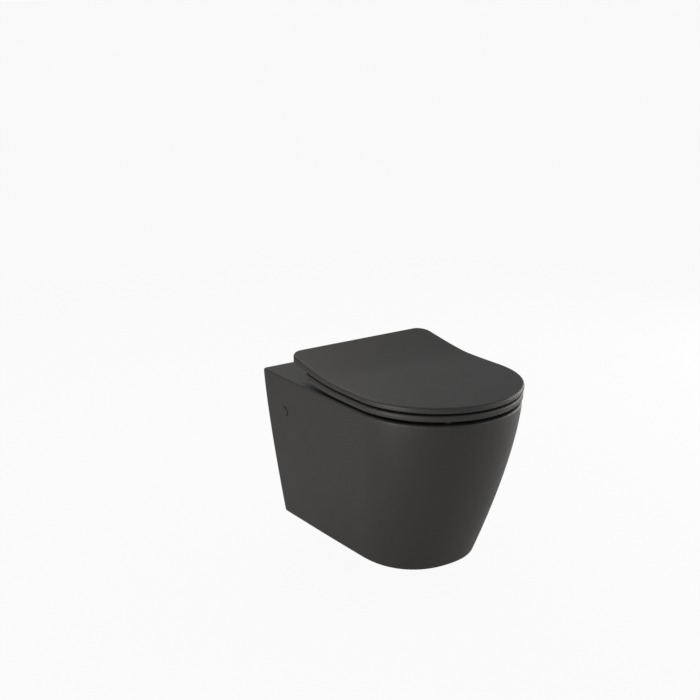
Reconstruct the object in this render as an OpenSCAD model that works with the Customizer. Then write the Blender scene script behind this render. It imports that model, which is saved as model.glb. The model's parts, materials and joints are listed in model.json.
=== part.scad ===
// Wall-hung toilet with a hidden fixing: a skirted ceramic pan, a slim seat and lid on soft-close
// hinges, and the brackets that hold it to the wall. Millimetres. The wall is the plane y = 0, the
// pan points to -Y, and the origin is midway between the two wall studs, on the wall.

/* [Pan] */
// Width of the pan at the wall, along its top edge
pan_w = 344; // [330:1:372]
// Length of the pan from the wall to the front of its rim
pan_len = 541; // [525:1:570]
// Height of the pan from its underside to its rim
pan_h = 346; // [330:1:380]
// Height of the rim above the wall studs
rim_z = 80; // [72:1:90]
// Width of the underside at the wall
base_w = 240; // [215:1:280]
// How far the front of the underside lies behind the front of the rim
base_back = 116; // [70:1:130]
// How much wider each side is at the rounded front than at the wall
side_bulge = 3.5; // [0:0.5:6]
// Depth of the rounded front at the rim
nose_top = 178; // [160:1:195]
// Depth of the rounded front at the underside
nose_base = 135; // [110:1:150]
// Thickness of the skirt and of the bowl's wall
wall_t = 11; // [9:0.5:13]
// Thickness of the rim and the rear deck
rim_t = 20; // [17:1:24]
// Radius of the rim's outer edge
rim_r = 8; // [4:0.5:9]
// Radius of the underside's edge
base_r = 8; // [4:0.5:9]

/* [Bowl] */
// Width of the bowl's mouth
bowl_w = 262; // [240:1:275]
// Distance of the bowl's mouth from the wall
bowl_rear = 197; // [190:1:205]
// Width of the rim in front of the bowl's mouth
rim_front_w = 34; // [30:1:45]
// Depth of the bowl below the rim
bowl_depth = 268; // [255:1:275]
// Width of the sump at the bottom of the bowl
sump_w = 78; // [68:1:90]
// Radius of the bowl's upper edge
lip_r = 7; // [4:0.5:9]
// Radius of the trapway
trap_r = 25; // [23:0.5:27]
// Height of the trapway's crest above the outlet
trap_rise = 38; // [32:1:44]

/* [Water connections] */
// Height of the flush inlet above the wall studs
inlet_z = 35; // [30:1:38]
// Radius of the flush inlet's socket
inlet_r = 27.5; // [27.5]
// Depth of the flush inlet's socket
inlet_depth = 45; // [35:1:60]
// Radius of the channel from the inlet to the bowl
channel_r = 17; // [14:0.5:18]
// Depth of the outlet below the wall studs
outlet_drop = 100; // [100]
// Outer radius of the outlet spigot
spigot_r = 51; // [51]
// Inner radius of the outlet spigot
spigot_bore_r = 43; // [41:0.5:44]
// Length of the outlet spigot
spigot_len = 95; // [85:1:110]

/* [Wall fixing] */
// Distance between the two wall studs
stud_gap = 180; // [180]
// Radius of the bracket's hole for a wall stud
stud_hole_r = 6.5; // [6.25:0.25:7]
// Thickness of the bracket's wall plate
bracket_t = 10; // [8:0.5:12]
// Height of the bracket
bracket_h = 44; // [38:1:50]
// Distance of the side clamp screw from the wall
clamp_y = 70; // [62:1:80]
// Radius of the clamp screw
clamp_r = 5; // [4:0.5:6]
// Radius of the side cap
cap_r = 10.5; // [9:0.5:12]
// Thickness of the side cap
cap_t = 2.5; // [2:0.5:3]

/* [Lid] */
// Width of the lid
lid_w = 363; // [355:1:372]
// Distance of the lid's rear edge from the wall
lid_rear = 106; // [100:1:112]
// How far the lid reaches past the front of the pan
lid_over = 4; // [0:0.5:8]
// Thickness of the lid
lid_t = 13.5; // [12:0.5:15]
// Rise of the lid's top from the bend to the rear edge
lid_rise = 27; // [24:0.5:29]
// Rise of the lid's lower edge from the bend to the rear edge
lid_rise_low = 21; // [19:0.5:23]
// Distance of the bend across the lid from the wall
bend_y = 258; // [240:1:275]
// Radius of the lid's upper edge
lid_edge_r = 5.5; // [3:0.5:6]
// Radius of the lid's rear corners
lid_corner_r = 30; // [22:1:38]
// Depth of the hollow under the lid
lid_hollow = 6; // [4:0.5:7]

/* [Seat] */
// Height of the seat's underside above the rim
seat_lift = 5; // [4:0.5:7]
// Thickness of the seat ring at the front
seat_t = 15; // [13:0.5:17]
// Gap between the seat ring and the lid
seat_lid_gap = 2.5; // [2:0.25:4]
// How far the seat's edge lies inside the lid's edge
seat_inset = 1.5; // [0.5:0.5:4]
// Width of the seat's opening
seat_hole_w = 222; // [205:1:235]
// Length of the seat's opening
seat_hole_len = 262; // [245:1:275]
// Width of the seat ring at the front
seat_front_w = 66; // [60:1:72]
// Distance of the seat ring's rear end from the wall
seat_rear = 160; // [156:1:166]

/* [Hinges] */
// Distance between the two hinge posts
hinge_gap = 155; // [150:1:160]
// Distance of the hinge axis from the wall
hinge_y = 128; // [126:1:132]
// Height of the hinge axis above the rim
hinge_z = 31; // [30:0.5:33]
// Width of a hinge block
block_w = 35; // [32:1:38]
// Radius of a damper
damper_r = 8; // [7:0.5:8.5]
// Radius of a damper's shaft, the hinge pin
shaft_r = 4; // [3:0.5:4.5]
// Radius of a hinge knuckle
knuckle_r = 9; // [8:0.5:9.5]
// Width of a hinge knuckle
knuckle_w = 14; // [12:0.5:16]
// Radius of a hinge post
post_r = 5; // [4:0.5:5.5]
// Radius of the round plate under a hinge block
plate_r = 20; // [17:0.5:20.5]
// Travel of a release button
button_travel = 2; // [1.5:0.25:2.25]

/* [Clearances] */
// Gap at the side of a turning shaft or pin
run_gap = 0.05; // [0.03:0.01:0.08]
// Gap between moving faces
face_gap = 0.5; // [0.4:0.1:0.8]
// Gap where a fixed piece lies in its seat
seat_gap = 0.2; // [0.1:0.05:0.3]

/* [Hidden] */

// Colours
ceramic_black = [0.26, 0.26, 0.26];
plastic_black = [0.24, 0.24, 0.24];
rubber_grey = [0.55, 0.55, 0.55];
nylon_grey = [0.35, 0.36, 0.38];
steel = [0.75, 0.76, 0.78];

// Levels of the pan
base_z = rim_z - pan_h;
side_curve = 1.25;
front_curve = 1.35;
round_n = 64;

// Height of a point along the curve from the rim, 0, to the underside, 1
function depth_at(z) = (rim_z - z) / pan_h;
function mix(a, b, t) = a + (b - a) * t;
function spow(v, e) = sign(v) * pow(abs(v), e);

// Half width of the pan at the wall, and the front of the pan, at depth t
function pan_half(t) = pan_w / 2 - (pan_w - base_w) / 2 * pow(t, side_curve);
function pan_front(t) = -pan_len + base_back * pow(t, front_curve);

// One level of the skirt, from the wall at +X round the front to the wall at -X
function pan_loop(z, inset, y_wall, side_n, nose_n) =
    let(
        t = depth_at(z),
        nose = mix(nose_top, nose_base, t),
        y_nose = pan_front(t) + nose,
        half = pan_half(t) - inset,
        power = mix(2.05, 2.3, t),
        side = [for (i = [0 : side_n - 1]) let(s = i / side_n)
            [half + side_bulge * (1 - pow(1 - s, 2)), mix(y_wall, y_nose, s), z]]
    )
    concat(
        side,
        [for (j = [0 : nose_n]) let(a = 180 * j / nose_n)
            [(half + side_bulge) * spow(cos(a), 2 / power), y_nose - (nose - inset) * spow(sin(a), 2 / power), z]],
        [for (i = [side_n - 1 : -1 : 0]) [-side[i][0], side[i][1], z]]
    );

// Levels of the bowl: u is 0 under the lip and 1 at the bottom of the sump
bowl_top = rim_z - lip_r;
sump_r = 10;
bowl_bottom = rim_z - bowl_depth;
bowl_low = bowl_bottom + sump_r;
bowl_mid = -(bowl_rear + pan_len - rim_front_w) / 2;
bowl_reach = (pan_len - rim_front_w - bowl_rear) / 2;
sump_y = bowl_mid + 22;
function bowl_half(u) = mix(bowl_w / 2, sump_w / 2, pow(u, 1.5));
function bowl_centre(u) = mix(bowl_mid, sump_y, pow(u, 1.5));
function bowl_back(u) = mix(bowl_reach, sump_w / 2, u);
function bowl_fore(u) = mix(bowl_reach, sump_w / 2 + 6, pow(u, 1.4));
function bowl_u(z) = (bowl_top - z) / (bowl_top - bowl_low);

// One level of the bowl, egg-shaped, drawn out by grow
function bowl_loop(u, z, grow, n) =
    [for (j = [0 : n - 1])
        let(
            a = -360 * j / n,
            half = bowl_half(u) + grow,
            reach = (sin(a) > 0 ? bowl_back(u) : bowl_fore(u)) + grow,
            power = sin(a) > 0 ? 2.5 : 2.1
        )
        [half * spow(cos(a), 2 / power), bowl_centre(u) + reach * spow(sin(a), 2 / power), z]];

// Outline shared by the lid and the seat, drawn in by inset, with its rear edge at y_rear
lid_front = -pan_len - lid_over;
lid_nose = lid_w / 2;
lid_waist = lid_w / 2 - 4.5;
function edge_half(y, y_rear) =
    let(s = (y - lid_front - lid_nose) / (y_rear - lid_front - lid_nose))
    mix(lid_w / 2, lid_waist, pow(max(0, s), 2));
function shell_loop(inset, y_rear, corner, n) =
    let(
        y_nose = lid_front + lid_nose,
        r = max(1, corner - inset),
        back = y_rear - inset,
        x_c = edge_half(y_rear - corner, y_rear) - inset - r,
        rear = [for (i = [0 : n - 1]) [x_c * i / n, back]],
        corner_arc = [for (i = [0 : n]) let(a = 90 - 90 * i / n) [x_c + r * cos(a), back - r + r * sin(a)]],
        side = [for (i = [1 : n - 1]) let(y = mix(back - r, y_nose, i / n)) [edge_half(y, y_rear) - inset, y]],
        nose = [for (i = [0 : 3 * n]) let(a = 30 * i / n) [(lid_nose - inset) * cos(a), y_nose - (lid_nose - inset) * sin(a)]],
        half = concat(rear, corner_arc, side, nose)
    )
    concat(half, [for (i = [len(half) - 2 : -1 : 1]) [-half[i][0], half[i][1]]]);

// Heights of the lid and the seat, which both rise behind the bend
lid_low = rim_z + seat_lift + seat_t + seat_lid_gap;
lid_high = lid_low + lid_t;
function rise(y) = pow(max(0, (y + bend_y) / (bend_y - lid_rear)), 1.2);
function lid_under(y) = lid_low + lid_rise_low * rise(y);
function lid_top(y) = lid_high + lid_rise * rise(y);
function seat_top(y) = rim_z + seat_lift + seat_t + (lid_rise_low - 1) * rise(y);

// Hinge
axis_y = -hinge_y;
axis_z = rim_z + hinge_z;
plate_t = 3;
block_bottom = rim_z + plate_t;
post_top = axis_z - damper_r - 4.5;
block_front = 16;
block_back = 9;
knuckle_in = hinge_gap / 2 - block_w / 2 - face_gap - knuckle_w / 2;
knuckle_out = hinge_gap / 2 + block_w / 2 + face_gap + knuckle_w / 2;
button_z = rim_z + 11;
yoke_t = 3;
post_hole_r = 7;
stud_r = 3;
nut_z = rim_z - rim_t - 20;

yoke_w = 15;
yoke_end = post_r + 1.8;
nut_h = 8;

// Pipes inside the pan
rib_t = 14;
inlet_wall_y = bowl_centre(bowl_u(inlet_z)) + bowl_back(bowl_u(inlet_z));
rib_reach = bowl_rear + 60;
sleeve_room = 16;
foot_in = 12;
crest_back = 80;
trap_foot = [sump_y + foot_in, bowl_bottom + foot_in];
trap_crest = [-spigot_len - crest_back, -outlet_drop + trap_rise];
trap_end = [-spigot_len + 5, -outlet_drop];

// Side clamp
cap_sink = cap_t + 0.5;
clamp_tilt = atan(side_curve * (pan_w - base_w) / 2 * pow(depth_at(0), side_curve - 1) / pan_h);
side_x = pan_half(depth_at(0)) + side_bulge * (1 - pow(1 - clamp_y / (pan_len - nose_top), 2));
clamp_hole_r = 8;
boss_depth = 9;
boss_in = side_x - wall_t - boss_depth;
arm_x = stud_gap / 2 + 17;
arm_w = 18;
arm_h = 30;

// A closed skin over loops of equal length, with a fan at each end. The loops run from the first
// end, seen clockwise from outside, to the last
module skin(loops) {
    n = len(loops[0]);
    m = len(loops);
    first = [for (k = [0 : 2]) [for (p = loops[0]) p[k]] * [for (p = loops[0]) 1 / n]];
    last = [for (k = [0 : 2]) [for (p = loops[m - 1]) p[k]] * [for (p = loops[m - 1]) 1 / n]];
    points = concat([for (l = loops) each l], [first, last]);
    polyhedron(points, concat(
        [for (k = [0 : m - 2]) for (i = [0 : n - 1]) let(j = (i + 1) % n) each
            [[k * n + i, (k + 1) * n + i, (k + 1) * n + j], [k * n + i, (k + 1) * n + j, k * n + j]]],
        [for (i = [0 : n - 1]) [m * n, i, (i + 1) % n]],
        [for (i = [0 : n - 1]) [m * n + 1, (m - 1) * n + (i + 1) % n, (m - 1) * n + i]]
    ), convexity = 6);
}

// A closed ring through loops of equal length, where the last loop meets the first
module ring_skin(loops) {
    n = len(loops[0]);
    m = len(loops);
    polyhedron([for (l = loops) each l],
        [for (k = [0 : m - 1]) for (i = [0 : n - 1]) let(j = (i + 1) % n, q = (k + 1) % m) each
            [[k * n + i, q * n + i, q * n + j], [k * n + i, q * n + j, k * n + j]]],
        convexity = 6);
}

// Cylinders along the axes
module along_x(r, x0, x1, n = round_n) {
    translate([x0, 0, 0]) rotate([0, 90, 0]) cylinder(r = r, h = x1 - x0, $fn = n);
}
module along_y(r, y0, y1, n = round_n) {
    translate([0, y0, 0]) rotate([-90, 0, 0]) cylinder(r = r, h = y1 - y0, $fn = n);
}
// Pieces that come in pairs are drawn on the right, at +X. The left one is mirrored
module side(left) {
    mirror([left > 0 ? 1 : 0, 0, 0]) children();
}

// Pan
module skirt() {
    top = rim_z - rim_r;
    low = base_z + base_r;
    skin(concat(
        [for (a = [0, 30, 60]) pan_loop(rim_z - rim_r * (1 - cos(a)), rim_r * (1 - sin(a)), 0, 6, 40)],
        [for (i = [0 : 11]) pan_loop(mix(top, low, i / 11), 0, 0, 6, 40)],
        [for (a = [30, 60, 90]) pan_loop(low - base_r * sin(a), base_r * (1 - cos(a)), 0, 6, 40)]
    ));
}
module bowl_space() {
    skin(concat(
        [bowl_loop(0, rim_z + 1, lip_r, 48)],
        [for (a = [0, 30, 60]) bowl_loop(0, rim_z - lip_r * (1 - cos(a)), lip_r * (1 - sin(a)), 48)],
        [for (i = [0 : 11]) let(u = i / 11) bowl_loop(u, mix(bowl_top, bowl_low, u), 0, 48)],
        [for (a = [30, 60, 90]) bowl_loop(1, bowl_low - sump_r * sin(a), -sump_r * (1 - cos(a)), 48)]
    ));
}
// The bowl's outside, one wall thickness further out
module bowl_jacket() {
    skin(concat(
        [for (i = [0 : 8]) let(u = i / 8) bowl_loop(u, mix(bowl_top, bowl_low, u), wall_t, 32)],
        [for (a = [45, 90])
            bowl_loop(1, bowl_low - (sump_r + wall_t) * sin(a), wall_t - (sump_r + wall_t) * (1 - cos(a)), 32)]
    ));
}
// The space inside the skirt, open at the wall
module skirt_space() {
    skin([for (i = [0 : 9]) pan_loop(mix(rim_z - rim_t, base_z + wall_t, i / 9), wall_t, 1, 5, 24)]);
}
// The outlet pipe from the sump over the crest to the spigot, drawn out by grow
function bend(a, b, c, t) = mix(mix(a, b, t), mix(b, c, t), t);
function trap_path() =
    let(
        a = mix(trap_foot, trap_crest, 0.45),
        b = mix(trap_crest, trap_end, 0.6)
    )
    concat([trap_foot], [for (t = [0 : 0.2 : 1]) bend(a, trap_crest, b, t)], [trap_end]);
module trapway(grow) {
    path = trap_path();
    last = len(path) - 1;
    skin([for (k = [0 : last])
        let(
            run = path[min(last, k + 1)] - path[max(0, k - 1)],
            across = [run[1], -run[0]] / norm(run),
            r = trap_r + grow
        )
        [for (a = [0 : 18 : 342])
            [r * cos(a), path[k][0] + r * sin(a) * across[0], path[k][1] + r * sin(a) * across[1]]]]);
}
// The ceramic body before its round holes: the skirt, the rim, the bowl and the pipes. Resizing it
// to its own length keeps it as one mesh
module shell() {
    resize([0, pan_len, 0]) difference() {
        skirt();
        difference() {
            skirt_space();
            bowl_jacket();
            trapway(wall_t - 3);
            translate([0, 0, inlet_z]) along_y(inlet_r + wall_t - 2, inlet_wall_y + wall_t / 2, 2, 24);
            difference() {
                translate([-rib_t / 2, -rib_reach, base_z]) cube([rib_t, rib_reach + 2, pan_h - rim_t / 2]);
                translate([0, 0, -outlet_drop]) along_y(spigot_r + sleeve_room, -spigot_len, 3, 32);
            }
            for (m = [0, 1]) mirror([m, 0, 0]) {
                translate([0, -clamp_y, 0]) along_x(clamp_hole_r + 9, boss_in, side_x - wall_t / 2, 24);
            }
        }
        bowl_space();
    }
}
module pan() {
    color(ceramic_black) difference() {
        union() {
            shell();
            translate([0, 0, -outlet_drop]) along_y(spigot_r, -spigot_len, 0);
        }
        trapway(0);
        translate([0, 0, -outlet_drop]) along_y(spigot_bore_r, -spigot_len + wall_t - 2, 2);
        translate([0, 0, inlet_z]) {
            along_y(inlet_r, -inlet_depth, 2);
            along_y(channel_r, inlet_wall_y - 12, 0);
        }
        for (m = [0, 1]) mirror([m, 0, 0]) {
            translate([hinge_gap / 2, axis_y, rim_z - rim_t - 1]) cylinder(r = post_hole_r, h = rim_t + 2, $fn = round_n);
            translate([0, -clamp_y, 0]) along_x(clamp_hole_r, boss_in - 1, side_x + 1);
            cap_frame() translate([0, 0, -cap_sink]) cylinder(r = cap_r + seat_gap, h = cap_sink + 3, $fn = round_n);
        }
    }
}
// The frame of the side cap: its middle on the skirt, with +Z out along the skirt's normal
module cap_frame() {
    translate([side_x, -clamp_y, 0]) rotate([0, 90 + clamp_tilt, 0]) children();
}

// Rimless flush: a nozzle in the channel's mouth that sends the water to both sides of the bowl
module flow_divider() {
    r = channel_r - seat_gap;
    reach = 14;
    color(nylon_grey) translate([0, inlet_wall_y, inlet_z]) difference() {
        along_y(r, -reach, 22);
        along_y(r - 3, 3 - reach, 23);
        translate([-r - 1, 3 - reach, -9]) cube([2 * r + 2, 7, 18]);
    }
}

// Wall fixing, drawn for the right side and mirrored for the left
module wall_bracket() {
    x0 = stud_gap / 2 - 20;
    x1 = arm_x + arm_w / 2;
    color(nylon_grey) difference() {
        union() {
            translate([x0, -bracket_t, -bracket_h / 2]) cube([x1 - x0, bracket_t, bracket_h]);
            translate([arm_x - arm_w / 2, -clamp_y, -arm_h / 2]) cube([arm_w, clamp_y, arm_h]);
            translate([0, -clamp_y, 0]) along_x(arm_h / 2, arm_x - arm_w / 2, x1);
        }
        translate([stud_gap / 2, 0, 0]) along_y(stud_hole_r, -bracket_t - 1, 1);
        translate([0, -clamp_y, 0]) along_x(clamp_r + run_gap, arm_x - arm_w, x1 + 1);
    }
}
module clamp_screw() {
    x1 = side_x - cap_sink - 5;
    color(steel) translate([0, -clamp_y, 0]) difference() {
        along_x(clamp_r, arm_x - arm_w / 2 - 4, x1);
        translate([x1 - 5, 0, 0]) rotate([0, 90, 0]) cylinder(r = clamp_r * 0.56, h = 6, $fn = 6);
    }
}
module screw_bush() {
    color(nylon_grey) translate([0, -clamp_y, 0]) difference() {
        union() {
            along_x(clamp_hole_r - seat_gap, boss_in - 3, side_x - cap_sink - 3);
            along_x(clamp_hole_r + 4, boss_in - 3, boss_in);
        }
        along_x(clamp_r + seat_gap, boss_in - 4, side_x);
    }
}
module side_cap() {
    color(ceramic_black) cap_frame() translate([0, 0, -cap_sink]) rotate_extrude($fn = round_n)
        polygon([[0, 0], [cap_r, 0], [cap_r, cap_t - 0.6], [cap_r - 0.6, cap_t], [0, cap_t]]);
}

// Hinge posts on the deck
module hinge_post() {
    color(steel) translate([hinge_gap / 2, axis_y, 0]) rotate_extrude($fn = round_n)
        polygon([
            [0, nut_z - 4], [stud_r, nut_z - 4], [stud_r, block_bottom], [post_r, block_bottom],
            [post_r, post_top - 1], [post_r - 1, post_top], [0, post_top]
        ]);
}
module post_plate() {
    color(steel) translate([hinge_gap / 2, axis_y, rim_z]) rotate_extrude($fn = round_n)
        polygon([
            [stud_r + seat_gap, 0], [plate_r, 0], [plate_r, plate_t - 1], [plate_r - 1, plate_t],
            [stud_r + seat_gap, plate_t]
        ]);
}
module post_sleeve() {
    color(rubber_grey) translate([hinge_gap / 2, axis_y, nut_z + nut_h]) difference() {
        cylinder(r = post_hole_r - seat_gap, h = rim_z - nut_z - nut_h, $fn = round_n);
        translate([0, 0, -1]) cylinder(r = stud_r + seat_gap, h = rim_t * 3, $fn = round_n);
    }
}
module post_nut() {
    color(steel) translate([hinge_gap / 2, axis_y, nut_z]) difference() {
        cylinder(r = post_hole_r - seat_gap, h = nut_h, $fn = 6);
        translate([0, 0, -1]) cylinder(r = stud_r + run_gap, h = nut_h + 2, $fn = round_n);
    }
}

// Hinge blocks, dampers and release buttons
module hinge_block() {
    x0 = hinge_gap / 2 - block_w / 2;
    color(plastic_black) difference() {
        union() {
            translate([0, axis_y, axis_z]) along_x(damper_r + 3.5, x0, x0 + block_w);
            translate([x0, axis_y, 0]) rotate([90, 0, 90]) linear_extrude(block_w)
                polygon([
                    [-block_front, block_bottom], [block_back, block_bottom], [block_back, axis_z - 5],
                    [-10, axis_z - 5], [-block_front, axis_z - 12]
                ]);
        }
        translate([0, axis_y, axis_z]) along_x(damper_r + run_gap, x0 - 1, x0 + block_w + 1);
        translate([hinge_gap / 2, axis_y, block_bottom - 1])
            cylinder(r = post_r + run_gap, h = post_top + 1.5 - block_bottom, $fn = round_n);
        translate([hinge_gap / 2 - yoke_w / 2 - seat_gap, axis_y - block_front - 1, button_z - yoke_t / 2 - seat_gap])
            cube([yoke_w + 2 * seat_gap, block_front + block_back + 2, yoke_t + 2 * seat_gap]);
    }
}
module damper() {
    x0 = hinge_gap / 2 - block_w / 2 + 0.3;
    color(nylon_grey) translate([0, axis_y, axis_z]) {
        along_x(damper_r, x0, x0 + block_w - 0.6);
        along_x(shaft_r, knuckle_in - knuckle_w / 2 + 1, knuckle_out + knuckle_w / 2 - 1);
    }
}
module release_button() {
    head_t = 2.2;
    head_y = -block_front - button_travel - 0.3;
    color(rubber_grey) translate([hinge_gap / 2, axis_y, button_z]) difference() {
        union() {
            translate([-yoke_w / 2, head_y, -yoke_t / 2]) cube([yoke_w, yoke_end - head_y, yoke_t]);
            translate([-yoke_w / 2, head_y - head_t, -4]) cube([yoke_w, head_t, 8]);
        }
        for (y = [0, -button_travel]) translate([0, y, -3]) cylinder(r = post_r + 0.3, h = 6, $fn = round_n);
        translate([-post_r - 0.3, -button_travel, -3]) cube([2 * post_r + 0.6, button_travel, 6]);
    }
}

// Seat
seat_mid = lid_front + seat_inset + seat_front_w + seat_hole_len / 2;
seat_low = rim_z + seat_lift;
function hole_point(a) =
    let(r = pow(pow(abs(cos(a)) / (seat_hole_w / 2), 2.15) + pow(abs(sin(a)) / (seat_hole_len / 2), 2.15), -1 / 2.15))
    [r * cos(a), seat_mid + r * sin(a)];
// One section of the ring, from its outer edge p to its inner edge q
function seat_section(p, q) =
    let(
        l = norm(q - p),
        d = (q - p) / l,
        at = [[0, 4], [0, -5], [1.5, -1.5], [5, 0], [l / 2, 0.8], [l - 10, -0.2], [l - 3, -3], [l, -8], [l, 4], [l - 3, 0], [3, 0]]
    )
    [for (i = [0 : len(at) - 1]) let(xy = p + d * at[i][0], low = i == 0 || i > 7)
        [xy[0], xy[1], (low ? seat_low : seat_top(xy[1])) + at[i][1]]];
module seat_ring() {
    outer = shell_loop(seat_inset, -seat_rear, 24, 7);
    color(plastic_black) difference() {
        union() {
            ring_skin([for (p = outer) seat_section(p, hole_point(atan2(p[1] - seat_mid, p[0])))]);
            for (m = [0, 1]) mirror([m, 0, 0]) {
                translate([0, axis_y, axis_z]) along_x(knuckle_r, knuckle_out - knuckle_w / 2, knuckle_out + knuckle_w / 2);
                translate([knuckle_out - knuckle_w / 2, -seat_rear - 16, axis_z - knuckle_r])
                    cube([knuckle_w, seat_rear + 16 - hinge_y, knuckle_r + 1]);
            }
        }
        for (m = [0, 1]) mirror([m, 0, 0])
            translate([0, axis_y, axis_z]) along_x(shaft_r + run_gap, knuckle_out - knuckle_w, knuckle_out + knuckle_w);
    }
}

// Buffers: one pair on the sides, before the bend, and one pair round the front
buffer_before_bend = 42;
buffer_in = 23;
buffer_turn = 28;
buffer_spots = [
    [(lid_w + seat_hole_w) / 4, -bend_y - buffer_before_bend],
    [(lid_nose - buffer_in) * sin(buffer_turn), lid_front + lid_nose - (lid_nose - buffer_in) * cos(buffer_turn)]
];
module seat_buffers() {
    color(rubber_grey) for (m = [0, 1], p = buffer_spots) mirror([m, 0, 0])
        translate([p[0], p[1], rim_z + 0.3]) cylinder(r = 7, h = seat_lift - 0.3, $fn = 32);
}

// Lid
function at_height(loop, over, high) =
    [for (p = loop) [p[0], p[1], (high ? lid_top(p[1]) : lid_under(p[1])) + over]];
function shrink(loop, f) = [for (p = loop) [p[0] * f, lid_mid + (p[1] - lid_mid) * f]];
lid_mid = (lid_front - lid_rear) / 2;
module lid() {
    rear = -lid_rear;
    c = lid_corner_r;
    flat = shell_loop(lid_edge_r, rear, c, 7);
    hollow = shell_loop(12, rear, c, 7);
    color(plastic_black) difference() {
        union() {
            skin(concat(
                [for (f = [0.3, 0.6, 0.85]) at_height(shrink(flat, f), 1.2 * (1 - f * f), true)],
                [for (a = [0, 30, 60, 90])
                    at_height(shell_loop(lid_edge_r * (1 - sin(a)), rear, c, 7), -lid_edge_r * (1 - cos(a)), true)],
                [at_height(shell_loop(0, rear, c, 7), 2, false)],
                [for (d = [1.5, 11]) at_height(shell_loop(d, rear, c, 7), 0, false)],
                [at_height(hollow, lid_hollow, false)],
                [for (f = [0.7, 0.3]) at_height(shrink(hollow, f), lid_hollow, false)]
            ));
            for (m = [0, 1]) mirror([m, 0, 0]) {
                translate([0, axis_y, axis_z]) along_x(knuckle_r, knuckle_in - knuckle_w / 2, knuckle_in + knuckle_w / 2);
                translate([knuckle_in - knuckle_w / 2, axis_y - knuckle_r + 1, axis_z])
                    cube([knuckle_w, 2 * knuckle_r - 2, lid_under(axis_y) + lid_hollow + 3 - axis_z]);
            }
        }
        for (m = [0, 1]) mirror([m, 0, 0])
            translate([0, axis_y, axis_z]) along_x(shaft_r + run_gap, knuckle_in - knuckle_w, knuckle_in + knuckle_w);
    }
}
module lid_buffers() {
    color(rubber_grey) for (m = [0, 1], p = buffer_spots) mirror([m, 0, 0]) {
        low = seat_top(p[1]) + 1.2;
        translate([p[0] - 4, p[1], low]) cylinder(r = 6, h = lid_low + lid_hollow - low, $fn = 32);
    }
}

pan();
flow_divider();
side(1) wall_bracket();  // wall_bracket_left
side(-1) wall_bracket();  // wall_bracket_right
side(1) clamp_screw();  // clamp_screw_left
side(-1) clamp_screw();  // clamp_screw_right
side(1) screw_bush();  // screw_bush_left
side(-1) screw_bush();  // screw_bush_right
side(1) side_cap();  // side_cap_left
side(-1) side_cap();  // side_cap_right
side(1) hinge_post();  // hinge_post_left
side(-1) hinge_post();  // hinge_post_right
side(1) post_plate();  // post_plate_left
side(-1) post_plate();  // post_plate_right
side(1) post_sleeve();  // post_sleeve_left
side(-1) post_sleeve();  // post_sleeve_right
side(1) post_nut();  // post_nut_left
side(-1) post_nut();  // post_nut_right
side(1) hinge_block();  // hinge_block_left
side(-1) hinge_block();  // hinge_block_right
side(1) damper();  // lid_damper
side(-1) damper();  // seat_damper
side(1) release_button();  // release_button_left
side(-1) release_button();  // release_button_right
seat_ring();
seat_buffers();
lid();
lid_buffers();
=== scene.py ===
# %% [markdown]
# # A matt black wall-hung toilet
# The pan is one piece of glazed ceramic that hangs on a wall. Its sides run straight forward from the
# wall, close round the front in half a circle, and lean in towards a smaller underside. A slim lid and
# seat ring lie on it. The CAD model gives every place, and this script gives the surfaces: each large
# shape is worked out again as a fine grid with numpy, so that light runs over it without facets.

# %% Load the CAD model
import json
import math

import bmesh
import bpy
import numpy as np
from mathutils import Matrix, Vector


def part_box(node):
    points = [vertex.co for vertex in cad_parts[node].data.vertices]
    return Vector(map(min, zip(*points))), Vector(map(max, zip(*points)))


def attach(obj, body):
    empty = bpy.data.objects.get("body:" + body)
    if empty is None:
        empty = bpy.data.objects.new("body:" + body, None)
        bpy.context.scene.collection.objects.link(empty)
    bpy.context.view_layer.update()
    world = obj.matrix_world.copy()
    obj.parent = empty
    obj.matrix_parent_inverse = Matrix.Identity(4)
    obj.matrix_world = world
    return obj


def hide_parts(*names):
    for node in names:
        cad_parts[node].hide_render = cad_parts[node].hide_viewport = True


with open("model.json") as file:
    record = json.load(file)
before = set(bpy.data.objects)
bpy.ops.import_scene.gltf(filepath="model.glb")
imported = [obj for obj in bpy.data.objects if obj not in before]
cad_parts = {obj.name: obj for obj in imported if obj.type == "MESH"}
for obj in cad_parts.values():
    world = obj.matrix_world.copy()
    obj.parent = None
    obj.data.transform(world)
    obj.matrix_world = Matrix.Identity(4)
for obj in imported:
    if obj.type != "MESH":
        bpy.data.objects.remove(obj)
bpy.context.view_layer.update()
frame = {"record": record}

# %% [markdown]
# ## Sizes
# The boxes of the CAD model's nodes say where things are. The numbers that shape a curve are written
# here, in millimetres. The origin is on the wall, midway between the two wall studs.

# %% Sizes that come from the CAD model
def corners(node):
    """Lowest and highest corner of a CAD node, in millimetres."""
    low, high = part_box(node)
    return np.array(low) * 1000, np.array(high) * 1000


pan_low, pan_high = corners("pan")
rim_z = pan_high[2]
base_z = pan_low[2]
pan_len = -pan_low[1]
pan_h = rim_z - base_z
print("pan", round(pan_len), "mm long and", round(pan_h), "mm high")

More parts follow.
